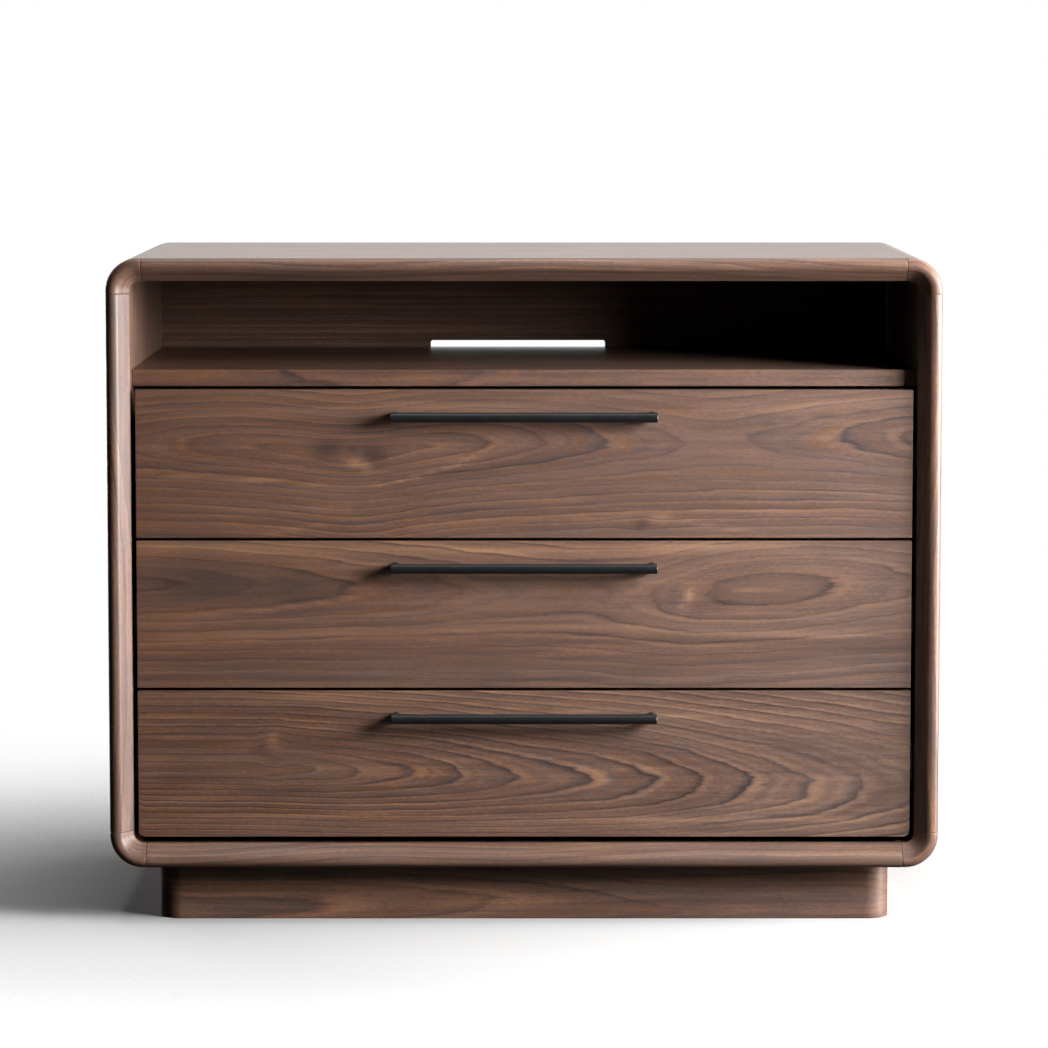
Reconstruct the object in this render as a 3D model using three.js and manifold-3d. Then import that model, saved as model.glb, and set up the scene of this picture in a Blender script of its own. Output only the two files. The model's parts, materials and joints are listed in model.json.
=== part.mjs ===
// A commode chest with an open niche over three drawers on telescopic side slides.
// Millimetres, +Z up, +X to the right of someone facing the drawers, and the front faces -Y.
// The origin is the middle of the whole chest's footprint, handles included, at floor level.

import * as THREE from 'three';
import { mergeVertices } from 'three/addons/utils/BufferGeometryUtils.js';
import Module from 'manifold-3d';

const wasm = await Module();
wasm.setup();

// Overall sizes
const WIDTH = 1000;
const DEPTH = 500;
const CARCASS_HEIGHT = 736;
const PLINTH_HEIGHT = 69;

// Frame boards: thickness, front profile and rounded corners
const BOARD = 28;
const EDGE_RADIUS = 8.5;
const CREST_RADIUS = 9;
const BEVEL_DEPTH = 20;
const INNER_CORNER_RADIUS = 12;
const CORNER_ARM = 3;

// Niche, shelf and back panel with its cable slot
const NICHE_HEIGHT = 107.5;
const SHELF_THICKNESS = 20;
const SHELF_RECESS = 40;
const BACK_THICKNESS = 10;
const BACK_INSET = 6;
const SLOT_WIDTH = 227;
const SLOT_HEIGHT = 9;
const SLOT_RADIUS = 3;
const SLOT_OFFSET = -8;

// Plinth
const PLINTH_BOARD = 19;
const PLINTH_SIDE_INSET = 55.5;
const PLINTH_FRONT_INSET = 40;
const PLINTH_BACK_INSET = 40;
const PLINTH_CORNER_RADIUS = 28;

// Drawer fronts
const DRAWERS = 3;
const FRONT_THICKNESS = 19;
const FRONT_RECESS = 18;
const FRONT_SIDE_SPACE = 5.5;
const FRONT_TOP_SPACE = 3;
const FRONT_SPACE = 3.5;
const FRONT_BOTTOM_SPACE = 7.5;
const FRONT_CORNER_RADIUS = 8;

// Bar handles
const HANDLE_LENGTH = 320;
const BAR_RADIUS = 6;
const POST_RADIUS = 6;
const HANDLE_DROP = 31.5;
const HANDLE_STANDOFF = 22;

// Drawer boxes
const BOX_BOARD = 15;
const BOX_LIFT = 22;
const BOX_TOP_SPACE = 26;
const BOX_REAR_SPACE = 35;
const BOTTOM_THICKNESS = 8;
const GROOVE_DEPTH = 6;
const GROOVE_LIFT = 12;

// Telescopic slides: three nested channels on each side of a drawer
const SLIDE_SPACE = 13;
const SLIDE_HEIGHT = 45;
const SLIDE_FRONT_SPACE = 9;
const SLIDE_REAR_SPACE = 38;
const CHANNEL_THICKNESS = 1.5;
const CHANNEL_END_SPACE = 1.5;
const RUNNING_GAP = 0.4;

// Glue line or seat between two pieces that touch, and the overrun of a cut
const SEAT = 0.3;
const OVERRUN = 1;

// Counts of facets, and the distance under which two outline points are one
const ARC_STEPS = 3;
const CORNER_STEPS = 12;
const BAR_SIDES = 28;
const SAME_POINT = 0.001;

// Places worked out from the sizes, with z from the floor and y from the crest of the front profile
const outerCornerRadius = BOARD + INNER_CORNER_RADIUS;
const cornerSize = outerCornerRadius + CORNER_ARM;
const innerHalfWidth = WIDTH / 2 - BOARD;
const innerBottom = PLINTH_HEIGHT + BOARD;
const innerTop = PLINTH_HEIGHT + CARCASS_HEIGHT - BOARD;
const shelfTop = innerTop - NICHE_HEIGHT;
const shelfBottom = shelfTop - SHELF_THICKNESS;
const backFace = DEPTH - BACK_INSET - BACK_THICKNESS;
const frontBack = FRONT_RECESS + FRONT_THICKNESS;
const frontWidth = 2 * (innerHalfWidth - FRONT_SIDE_SPACE);
const drawersTop = shelfBottom - FRONT_TOP_SPACE;
const drawersBottom = innerBottom + FRONT_BOTTOM_SPACE;
const frontPitch = (drawersTop - drawersBottom + FRONT_SPACE) / DRAWERS;
const frontHeight = frontPitch - FRONT_SPACE;
const handleReach = HANDLE_STANDOFF + BAR_RADIUS - FRONT_RECESS;
const boxHalfWidth = innerHalfWidth - SLIDE_SPACE;
const boxInnerHalfWidth = boxHalfWidth - BOX_BOARD;
const boxFront = frontBack + SEAT;
const boxBack = backFace - BOX_REAR_SPACE;
const boxTop = frontHeight - BOX_TOP_SPACE;
const bottomPanelBase = BOX_LIFT + GROOVE_LIFT + SEAT;
const slideFront = frontBack + SLIDE_FRONT_SPACE;
const slideBack = backFace - SLIDE_REAR_SPACE;

const right = new THREE.Vector3(1, 0, 0);
const back = new THREE.Vector3(0, 1, 0);
const up = new THREE.Vector3(0, 0, 1);
const left = right.clone().negate();
const front = back.clone().negate();
const down = up.clone().negate();

const walnut = new THREE.MeshStandardMaterial({ color: '#6a4c41', roughness: 0.42, metalness: 0 });
const beech = new THREE.MeshStandardMaterial({ color: '#c3a27a', roughness: 0.6, metalness: 0 });
const steel = new THREE.MeshStandardMaterial({ color: '#a7a9ac', roughness: 0.35, metalness: 1 });
const blackMetal = new THREE.MeshStandardMaterial({ color: '#171719', roughness: 0.5, metalness: 0.6 });

// A named piece, with its geometry's x and y turned to the given directions
function piece(name, material, geometry, position, xDirection = right, yDirection = back) {
  const mesh = new THREE.Mesh(geometry, material);
  mesh.name = name;
  mesh.position.set(...position);
  const zDirection = new THREE.Vector3().crossVectors(xDirection, yDirection);
  mesh.setRotationFromMatrix(new THREE.Matrix4().makeBasis(xDirection, yDirection, zDirection));
  return mesh;
}

// A rectangular board between two opposite corners
function board(name, material, low, high) {
  const size = high.map((value, axis) => value - low[axis]);
  const centre = high.map((value, axis) => (value + low[axis]) / 2);
  return piece(name, material, new THREE.BoxGeometry(...size), centre);
}

// The points of an outline, without the doubled ones where an arc meets a line
function outline(shape) {
  const points = shape.getPoints(ARC_STEPS);
  return points.filter((point, index) => point.distanceTo(points.at(index - 1)) > SAME_POINT);
}

function extrude(points, length) {
  return new THREE.ExtrudeGeometry(new THREE.Shape(points), { depth: length, bevelEnabled: false });
}

// Section of a frame board: x inward from its outer face, y back from the front.
// A round outer edge turns over the crest into a straight bevel on the inner side.
function frameSection() {
  const across = BOARD - EDGE_RADIUS;
  const behind = BEVEL_DEPTH - CREST_RADIUS;
  const bevelAngle = Math.atan2(behind, across) + Math.asin(CREST_RADIUS / Math.hypot(across, behind));
  const shape = new THREE.Shape();
  shape.moveTo(0, DEPTH);
  shape.lineTo(0, EDGE_RADIUS);
  shape.absarc(EDGE_RADIUS, EDGE_RADIUS, EDGE_RADIUS, Math.PI, Math.PI * 3 / 2, false);
  shape.absarc(EDGE_RADIUS, CREST_RADIUS, CREST_RADIUS, -Math.PI / 2, bevelAngle - Math.PI / 2, false);
  shape.lineTo(BOARD, BEVEL_DEPTH);
  shape.lineTo(BOARD, DEPTH);
  return outline(shape);
}

// A closed body through rings of equally many points, with a flat cap on both ends
function loft(rings, section) {
  const count = section.length;
  const faces = THREE.ShapeUtils.triangulateShape(section, []);
  const lastRing = (rings.length - 1) * count;
  const indices = [];
  for (const [a, b, c] of faces) {
    indices.push(a, c, b);
    indices.push(lastRing + a, lastRing + b, lastRing + c);
  }
  for (let ring = 0; ring < rings.length - 1; ring += 1) {
    for (let point = 0; point < count; point += 1) {
      const next = (point + 1) % count;
      const near = ring * count;
      const far = near + count;
      indices.push(near + point, near + next, far + next);
      indices.push(near + point, far + next, far + point);
    }
  }
  const geometry = new THREE.BufferGeometry().setFromPoints(rings.flat());
  geometry.setIndex(indices);
  return geometry;
}

// A corner block carries the frame's section round the corner, with a short straight arm at each end.
// Its origin is the sharp corner that the two outer faces would make.
function cornerGeometry(section) {
  const middle = -outerCornerRadius;
  const stations = [{ x: -cornerSize, z: 0, angle: Math.PI / 2 }];
  for (let step = 0; step <= CORNER_STEPS; step += 1) {
    const angle = Math.PI / 2 * (1 - step / CORNER_STEPS);
    const x = middle + outerCornerRadius * Math.cos(angle);
    const z = middle + outerCornerRadius * Math.sin(angle);
    stations.push({ x, z, angle });
  }
  stations.push({ x: 0, z: -cornerSize, angle: 0 });
  const rings = stations.map(({ x, z, angle }) => section.map((point) => new THREE.Vector3(
    x - point.x * Math.cos(angle),
    point.y,
    z - point.x * Math.sin(angle),
  )));
  return loft(rings, section);
}

// Each quarter turn about the depth carries one straight board and the corner block after it
function makeFrame() {
  const frame = new THREE.Group();
  frame.position.z = PLINTH_HEIGHT + CARCASS_HEIGHT / 2;
  const section = frameSection();
  const corner = cornerGeometry(section);
  const names = [
    ['top_panel', 'top_right_corner'],
    ['right_side_panel', 'bottom_right_corner'],
    ['bottom_panel', 'bottom_left_corner'],
    ['left_side_panel', 'top_left_corner'],
  ];
  names.forEach(([panelName, cornerName], turn) => {
    const upright = turn % 2 === 1;
    const across = upright ? CARCASS_HEIGHT : WIDTH;
    const outward = (upright ? WIDTH : CARCASS_HEIGHT) / 2;
    const length = across - 2 * (cornerSize + SEAT);
    const side = new THREE.Group();
    side.rotation.y = turn * Math.PI / 2;
    const panel = extrude(section, length);
    side.add(piece(panelName, walnut, panel, [-length / 2, 0, outward], down, back));
    side.add(piece(cornerName, walnut, corner, [across / 2, 0, outward]));
    frame.add(side);
  });
  return frame;
}

function makeShelf() {
  const half = innerHalfWidth - SEAT;
  const low = [-half, SHELF_RECESS, shelfBottom];
  const high = [half, backFace - SEAT, shelfTop];
  return board('niche_shelf', walnut, low, high);
}

// The back panel stands between the frame's boards. Its corners follow the frame's inner corners, and
// the cable slot is cut just above the shelf, with rounded upper corners.
function makeBackPanel() {
  const halfWidth = innerHalfWidth - SEAT;
  const low = innerBottom + SEAT;
  const high = innerTop - SEAT;
  const radius = INNER_CORNER_RADIUS;
  const shape = new THREE.Shape();
  shape.absarc(halfWidth - radius, low + radius, radius, -Math.PI / 2, 0, false);
  shape.absarc(halfWidth - radius, high - radius, radius, 0, Math.PI / 2, false);
  shape.absarc(radius - halfWidth, high - radius, radius, Math.PI / 2, Math.PI, false);
  shape.absarc(radius - halfWidth, low + radius, radius, Math.PI, Math.PI * 3 / 2, false);
  const slotLeft = SLOT_OFFSET - SLOT_WIDTH / 2;
  const slotRight = SLOT_OFFSET + SLOT_WIDTH / 2;
  const slotTop = shelfTop + SLOT_HEIGHT;
  const slot = new THREE.Path();
  slot.moveTo(slotLeft, shelfTop);
  slot.lineTo(slotRight, shelfTop);
  slot.absarc(slotRight - SLOT_RADIUS, slotTop - SLOT_RADIUS, SLOT_RADIUS, 0, Math.PI / 2, false);
  slot.absarc(slotLeft + SLOT_RADIUS, slotTop - SLOT_RADIUS, SLOT_RADIUS, Math.PI / 2, Math.PI, false);
  const panel = new THREE.Shape(outline(shape));
  panel.holes.push(new THREE.Path(outline(slot)));
  const geometry = new THREE.ExtrudeGeometry(panel, { depth: BACK_THICKNESS, bevelEnabled: false });
  return piece('back_panel', walnut, geometry, [0, backFace + BACK_THICKNESS, 0], right, up);
}

// A plinth of four boards. The front board is bent round both corners, and the side boards carry on
// from its ends.
function makePlinth() {
  const plinth = new THREE.Group();
  const half = WIDTH / 2 - PLINTH_SIDE_INSET;
  const frontY = PLINTH_FRONT_INSET;
  const backY = DEPTH - PLINTH_BACK_INSET;
  const height = PLINTH_HEIGHT - SEAT;
  const radius = PLINTH_CORNER_RADIUS;
  const innerRadius = radius - PLINTH_BOARD;
  const plan = new THREE.Shape();
  plan.absarc(radius - half, radius, radius, Math.PI, Math.PI * 3 / 2, false);
  plan.absarc(half - radius, radius, radius, -Math.PI / 2, 0, false);
  plan.absarc(half - radius, radius, innerRadius, 0, -Math.PI / 2, true);
  plan.absarc(radius - half, radius, innerRadius, -Math.PI / 2, -Math.PI, true);
  plinth.add(piece('plinth_front', walnut, extrude(outline(plan), height), [0, frontY, 0]));
  plinth.add(board('plinth_back', walnut, [-half, backY - PLINTH_BOARD, 0], [half, backY, height]));
  const sideFront = frontY + radius + SEAT;
  const sideBack = backY - PLINTH_BOARD - SEAT;
  const inner = half - PLINTH_BOARD;
  plinth.add(board('plinth_left', walnut, [-half, sideFront, 0], [-inner, sideBack, height]));
  plinth.add(board('plinth_right', walnut, [inner, sideFront, 0], [half, sideBack, height]));
  return plinth;
}

// A drawer front. The lowest one has its lower corners rounded, to clear the frame's inner corners.
function makeDrawerFront(name, isLowest) {
  const half = frontWidth / 2;
  if (!isLowest) {
    return board(name, walnut, [-half, FRONT_RECESS, 0], [half, frontBack, frontHeight]);
  }
  const radius = FRONT_CORNER_RADIUS;
  const shape = new THREE.Shape();
  shape.moveTo(half, frontHeight);
  shape.lineTo(-half, frontHeight);
  shape.absarc(radius - half, radius, radius, Math.PI, Math.PI * 3 / 2, false);
  shape.absarc(half - radius, radius, radius, -Math.PI / 2, 0, false);
  return piece(name, walnut, extrude(outline(shape), FRONT_THICKNESS), [0, frontBack, 0], right, up);
}

// Section of a grooved box board: x from its outer face to its inner face, y up from its lower edge
function groovedSection() {
  const height = boxTop - BOX_LIFT;
  const grooveTop = GROOVE_LIFT + BOTTOM_THICKNESS + 2 * SEAT;
  const grooveFloor = BOX_BOARD - GROOVE_DEPTH;
  return [
    new THREE.Vector2(0, 0),
    new THREE.Vector2(BOX_BOARD, 0),
    new THREE.Vector2(BOX_BOARD, GROOVE_LIFT),
    new THREE.Vector2(grooveFloor, GROOVE_LIFT),
    new THREE.Vector2(grooveFloor, grooveTop),
    new THREE.Vector2(BOX_BOARD, grooveTop),
    new THREE.Vector2(BOX_BOARD, height),
    new THREE.Vector2(0, height),
  ];
}

// A drawer box: grooved sides and inner front, a bottom held in the grooves, and a back above the bottom
function makeBox(drawerName) {
  const box = new THREE.Group();
  const section = groovedSection();
  const side = extrude(section, boxBack - boxFront);
  box.add(piece(`${drawerName}_box_left`, beech, side, [-boxHalfWidth, boxBack, BOX_LIFT], right, up));
  box.add(piece(`${drawerName}_box_right`, beech, side, [boxHalfWidth, boxFront, BOX_LIFT], left, up));
  const half = boxInnerHalfWidth - SEAT;
  const innerFront = extrude(section, 2 * half);
  box.add(piece(`${drawerName}_box_front`, beech, innerFront, [-half, boxFront, BOX_LIFT], back, up));
  const bottomTop = bottomPanelBase + BOTTOM_THICKNESS;
  const backLow = [-half, boxBack - BOX_BOARD, bottomTop + SEAT];
  box.add(board(`${drawerName}_box_back`, beech, backLow, [half, boxBack, boxTop]));
  const bottomHalf = boxInnerHalfWidth + GROOVE_DEPTH - SEAT;
  const bottomFront = boxFront + BOX_BOARD - GROOVE_DEPTH + SEAT;
  const bottomLow = [-bottomHalf, bottomFront, bottomPanelBase];
  box.add(board(`${drawerName}_box_bottom`, beech, bottomLow, [bottomHalf, boxBack, bottomTop]));
  return box;
}

// A solid for boolean work, made from a closed geometry
function solid(geometry) {
  const bare = geometry.clone();
  bare.deleteAttribute('normal');
  bare.deleteAttribute('uv');
  const merged = mergeVertices(bare);
  const vertProperties = new Float32Array(merged.attributes.position.array);
  const triVerts = new Uint32Array(merged.index.array);
  return new wasm.Manifold(new wasm.Mesh({ numProp: 3, vertProperties, triVerts }));
}

function geometryOf(manifold) {
  const { vertProperties, triVerts } = manifold.getMesh();
  const geometry = new THREE.BufferGeometry();
  geometry.setAttribute('position', new THREE.BufferAttribute(vertProperties, 3));
  geometry.setIndex(new THREE.BufferAttribute(triVerts, 1));
  return geometry;
}

// A post stands on the drawer front, at the origin, and points at the front. Its end is hollowed to seat
// on the round bar.
function postGeometry() {
  const length = HANDLE_STANDOFF - SEAT;
  const post = new THREE.CylinderGeometry(POST_RADIUS, POST_RADIUS, length, BAR_SIDES);
  post.translate(0, -length / 2 - SEAT, 0);
  const seatRadius = BAR_RADIUS + SEAT;
  const seatLength = 2 * (POST_RADIUS + OVERRUN);
  const seat = new THREE.CylinderGeometry(seatRadius, seatRadius, seatLength, BAR_SIDES);
  seat.rotateZ(Math.PI / 2);
  seat.translate(0, -HANDLE_STANDOFF, 0);
  return geometryOf(solid(post).subtract(solid(seat)));
}

const post = postGeometry();

function makeHandle(drawerName) {
  const handle = new THREE.Group();
  handle.position.set(0, FRONT_RECESS, frontHeight - HANDLE_DROP);
  const bar = new THREE.CylinderGeometry(BAR_RADIUS, BAR_RADIUS, HANDLE_LENGTH, BAR_SIDES);
  handle.add(piece(`${drawerName}_handle_bar`, blackMetal, bar, [0, -HANDLE_STANDOFF, 0], front, right));
  const postX = HANDLE_LENGTH / 2 - POST_RADIUS;
  handle.add(piece(`${drawerName}_handle_post_left`, blackMetal, post, [-postX, 0, 0]));
  handle.add(piece(`${drawerName}_handle_post_right`, blackMetal, post, [postX, 0, 0]));
  return handle;
}

// Section of a slide's channel: the web stands on y, and both flanges reach along x
function channelSection(height, reach) {
  const half = height / 2;
  const innerHalf = half - CHANNEL_THICKNESS;
  return [
    new THREE.Vector2(0, -half),
    new THREE.Vector2(reach, -half),
    new THREE.Vector2(reach, -innerHalf),
    new THREE.Vector2(CHANNEL_THICKNESS, -innerHalf),
    new THREE.Vector2(CHANNEL_THICKNESS, innerHalf),
    new THREE.Vector2(reach, innerHalf),
    new THREE.Vector2(reach, half),
    new THREE.Vector2(0, half),
  ];
}

// One slide, with x from the carcass side towards the drawer box. Each channel nests in the one before
// it with a running gap, and the drawer member opens towards the carcass.
function makeSlide(slideName) {
  const slide = new THREE.Group();
  const length = slideBack - slideFront;
  const step = CHANNEL_THICKNESS + RUNNING_GAP;
  const reachEnd = SLIDE_SPACE - CHANNEL_END_SPACE;
  const middleStart = SEAT + step;
  const drawerEnd = SLIDE_SPACE - SEAT;
  const drawerTip = middleStart + step;
  const cabinet = extrude(channelSection(SLIDE_HEIGHT, reachEnd - SEAT), length);
  const middle = extrude(channelSection(SLIDE_HEIGHT - 2 * step, reachEnd - middleStart), length);
  const drawer = extrude(channelSection(SLIDE_HEIGHT - 4 * step, drawerEnd - drawerTip), length);
  slide.add(piece(`${slideName}_cabinet_member`, steel, cabinet, [SEAT, length, 0], right, up));
  slide.add(piece(`${slideName}_middle_member`, steel, middle, [middleStart, length, 0], right, up));
  slide.add(piece(`${slideName}_drawer_member`, steel, drawer, [drawerEnd, 0, 0], left, up));
  return slide;
}

function makeSlides(drawerNumber) {
  const slides = new THREE.Group();
  slides.position.z = (BOX_LIFT + boxTop) / 2;
  const leftSlide = makeSlide(`slide_${drawerNumber}_left`);
  leftSlide.position.set(-innerHalfWidth, slideFront, 0);
  slides.add(leftSlide);
  const rightSlide = makeSlide(`slide_${drawerNumber}_right`);
  rightSlide.position.set(innerHalfWidth, slideBack, 0);
  rightSlide.rotation.z = Math.PI;
  slides.add(rightSlide);
  return slides;
}

// Drawers are numbered from the top
function makeDrawer(number) {
  const drawer = new THREE.Group();
  drawer.position.z = drawersTop - frontHeight - (number - 1) * frontPitch;
  const name = `drawer_${number}`;
  drawer.add(makeDrawerFront(`${name}_front`, number === DRAWERS));
  drawer.add(makeBox(name));
  drawer.add(makeHandle(name));
  drawer.add(makeSlides(number));
  return drawer;
}

const chest = new THREE.Group();
chest.position.y = (handleReach - DEPTH) / 2;
chest.add(makeFrame(), makeShelf(), makeBackPanel(), makePlinth());
for (let number = 1; number <= DRAWERS; number += 1) {
  chest.add(makeDrawer(number));
}

export default chest;
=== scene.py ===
"""Looks of a commode chest: walnut-veneered carcass with an open niche over three drawers.

Lengths are in metres in the chest's own frame: +Z up, the drawers face -Y, and the floor is z = 0.
"""

import json
import math

import bmesh
import bpy
import numpy as np
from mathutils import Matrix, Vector


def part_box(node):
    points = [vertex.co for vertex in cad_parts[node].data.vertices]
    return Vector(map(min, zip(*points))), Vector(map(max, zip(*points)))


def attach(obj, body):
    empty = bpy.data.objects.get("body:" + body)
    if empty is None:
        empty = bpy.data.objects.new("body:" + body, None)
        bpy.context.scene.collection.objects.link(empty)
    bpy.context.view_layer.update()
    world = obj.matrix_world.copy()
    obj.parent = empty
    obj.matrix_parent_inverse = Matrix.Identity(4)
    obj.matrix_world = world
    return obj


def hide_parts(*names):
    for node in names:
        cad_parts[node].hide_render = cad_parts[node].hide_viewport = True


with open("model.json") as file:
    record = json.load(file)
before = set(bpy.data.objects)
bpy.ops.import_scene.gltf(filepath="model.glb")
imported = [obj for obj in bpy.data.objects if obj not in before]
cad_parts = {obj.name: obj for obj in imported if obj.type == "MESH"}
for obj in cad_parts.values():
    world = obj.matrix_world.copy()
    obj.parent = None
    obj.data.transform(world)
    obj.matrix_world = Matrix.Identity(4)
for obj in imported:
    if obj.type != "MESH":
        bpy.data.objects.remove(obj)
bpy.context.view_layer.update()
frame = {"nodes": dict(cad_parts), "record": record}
BODY_OF = {node: body for body, nodes in frame["record"]["behaviour"]["bodies"].items() for node in nodes}

MM = 0.001

# Camera and its framing
CAMERA_PLACE = (0.0, -5.4753, 1.0211)
CAMERA_PITCH = math.radians(5.83)
CAMERA_LENS = 150.78
SENSOR_WIDTH = 36.0

# Frame section, as on the solids: outer round, crest, bevel
BOARD = 28 * MM
EDGE_RADIUS = 8.5 * MM
CREST_RADIUS = 9 * MM
BEVEL_DEPTH = 20 * MM
INNER_ARRIS = 1.5 * MM
BACK_ARRIS = 0.8 * MM
INNER_CORNER_RADIUS = 12 * MM
CORNER_RADIUS = BOARD + INNER_CORNER_RADIUS

# V-groove where a corner block meets a straight board
GROOVE_DEPTH = 0.7 * MM
GROOVE_WIDTH = 0.9 * MM
GROOVE_FADE_START = 24 * MM
GROOVE_FADE_END = 38 * MM
SEAM = 0.02 * MM

# Edges eased with fine paper, and the most of a round that a board's end is drawn in by
ARRIS = 0.9 * MM
BOX_ARRIS = 0.8 * MM
STEEL_ARRIS = 0.35 * MM
LOWEST_CORNER = 8 * MM
END_REACH = 0.98

# Spacing of points across a figured front, a wide panel and a corner block
FIGURE_STEP = 5 * MM
PANEL_STEP = 9 * MM
CORNER_STEP = 2.5 * MM

# Steps of the rounds: a small arris, the frame's outer round, its crest and the bevel's foot, the
# plinth's bend and the lowest front's corners
ARRIS_STEPS = 3
EDGE_STEPS = 14
CREST_STEPS = 6
FOOT_STEPS = 4
BEND_POINTS = 14
CORNER_POINTS = 10

# Angles past which an edge stays sharp or is eased, and within which faces are one flat face
SHARP_ANGLE = math.radians(40)
EASED_ANGLE = math.radians(30)
FLAT_ANGLE = math.radians(1)
MERGE_DISTANCE = 0.001 * MM

# Growth rings of the veneer, and the width of one sheet of it on a wide panel
RING = 8 * MM
SHEET = 215 * MM

# Seeds of the boards' figures
BOARD_SEED = 20
BLOCK_SEED = 30
SHELF_SEED = 41
PLINTH_SEED = 45
FRONT_SEED = 10

# Heart line of an ordinary board: how far it wanders and lies to a side, and its depth's start and steps
HEART_WANDER = 20 * MM
HEART_SHIFT = 50 * MM
DEPTH_START = 30 * MM
DEPTH_STEP = 12 * MM

# Stretches over which the heart line, its depth and a streak are rounded
HEART_WINDOW = 35 * MM
DEPTH_WINDOW = 30 * MM
STREAK_WINDOW = 18 * MM

# Bar handles
CHAMFER = 0.7 * MM
BAR_SINK = 0.3 * MM
BAR_SIDES = 48
POST_RINGS = 6

# Studio floor as the camera sees it: its matt share, its painted glow in open air, how far the painted
# contact shadow that dims the glow reaches, and where it fades into the white background, in metres
FLOOR_REACH = 7.0
FLOOR_MATT = 0.54
FLOOR_GLOW = 0.55
CONTACT_REACH = 0.9
CONTACT_POWER = 8.0
FLOOR_FADE_START = 1.15
FLOOR_FADE_END = 1.8

# Studio light from all round, and the white wall behind, which comes in as a ray turns towards +Y
AMBIENT = 0.002
WALL_START = 0.2
WALL_END = 0.85
WALL_STRENGTH = 1.45

# Sockets of a Mix node that blends colours
MIX_A, MIX_B, MIX_RESULT = 6, 7, 2

X_AXIS, Y_AXIS, Z_AXIS = np.eye(3)


# Colours and nodes


def linear(hex_colour, alpha=1.0):
    """An sRGB hex colour as linear RGBA."""
    parts = [int(hex_colour[i:i + 2], 16) / 255 for i in (1, 3, 5)]
    return (*[p / 12.92 if p <= 0.04045 else ((p + 0.055) / 1.055) ** 2.4 for p in parts], alpha)


def add(tree, kind, values=None, links=None, **settings):
    """Adds a node of a kind, sets its properties and socket values, and links outputs into its sockets."""
    node = tree.nodes.new(kind)
    for name, value in settings.items():
        setattr(node, name, value)
    for socket, value in (values or {}).items():
        node.inputs[socket].default_value = value
    for socket, output in (links or {}).items():
        tree.links.new(output, node.inputs[socket])
    return node


def set_ramp(node, stops):
    """Gives a colour ramp its stops, as (place, hex colour) pairs."""
    ramp = node.color_ramp
    while len(ramp.elements) < len(stops):
        ramp.elements.new(0.5)
    for element, (place, colour) in zip(ramp.elements, stops):
        element.position = place
        element.color = linear(colour)


def new_material(name):
    """A material with an empty tree that ends in a Principled BSDF."""
    material = bpy.data.materials.new(name)
    material.use_nodes = True
    tree = material.node_tree
    tree.nodes.clear()
    shader = add(tree, "ShaderNodeBsdfPrincipled")
    add(tree, "ShaderNodeOutputMaterial", links={"Surface": shader.outputs["BSDF"]})
    return material, tree, shader


def noise(tree, vector, scale, detail=2.0, roughness=0.5):
    """Three-dimensional noise of a vector, already stretched as it needs."""
    values = {"Scale": scale, "Detail": detail, "Roughness": roughness}
    return add(tree, "ShaderNodeTexNoise", values, {"Vector": vector}).outputs["Fac"]


# Walnut veneer, quarter to plain sliced, satin lacquered: long soft figure, dark growth lines with a pale
# line beside them, short dark pores along the grain, and a low even gloss.
WALNUT_STOPS = (
    (0.0, "#302420"),
    (0.3, "#523d36"),
    (0.5, "#6d4e41"),
    (0.68, "#8a634d"),
    (0.84, "#a07856"),
    (1.0, "#b98f67"),
)
HUE_STOPS = ((0.36, "#dcecff"), (0.5, "#fffaf0"), (0.64, "#ffefcb"))
# A ring's light and dark from its inner to its outer side: pale early wood, and a thin dark late line
RING_CURVE = (
    (0.0, 0.34), (0.05, 0.6), (0.14, 0.72), (0.32, 0.56), (0.8, 0.47), (0.92, 0.3), (0.97, 0.18), (1.0, 0.34),
)
# How far the growth lines waver, as a share of a ring
WAVER = 0.7
# Saturation of the veneer at the middle, and its fall for each metre to the right, a painted sheen that
# greys the fronts and the shelf towards the right, where the lamps' light falls most
FRAME_FADING = (0.86, 0.0)
PLINTH_FADING = (0.9, 0.0)
FRONT_SATURATION_AND_PAINTED_SHEEN = (0.87, 0.22)


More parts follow.
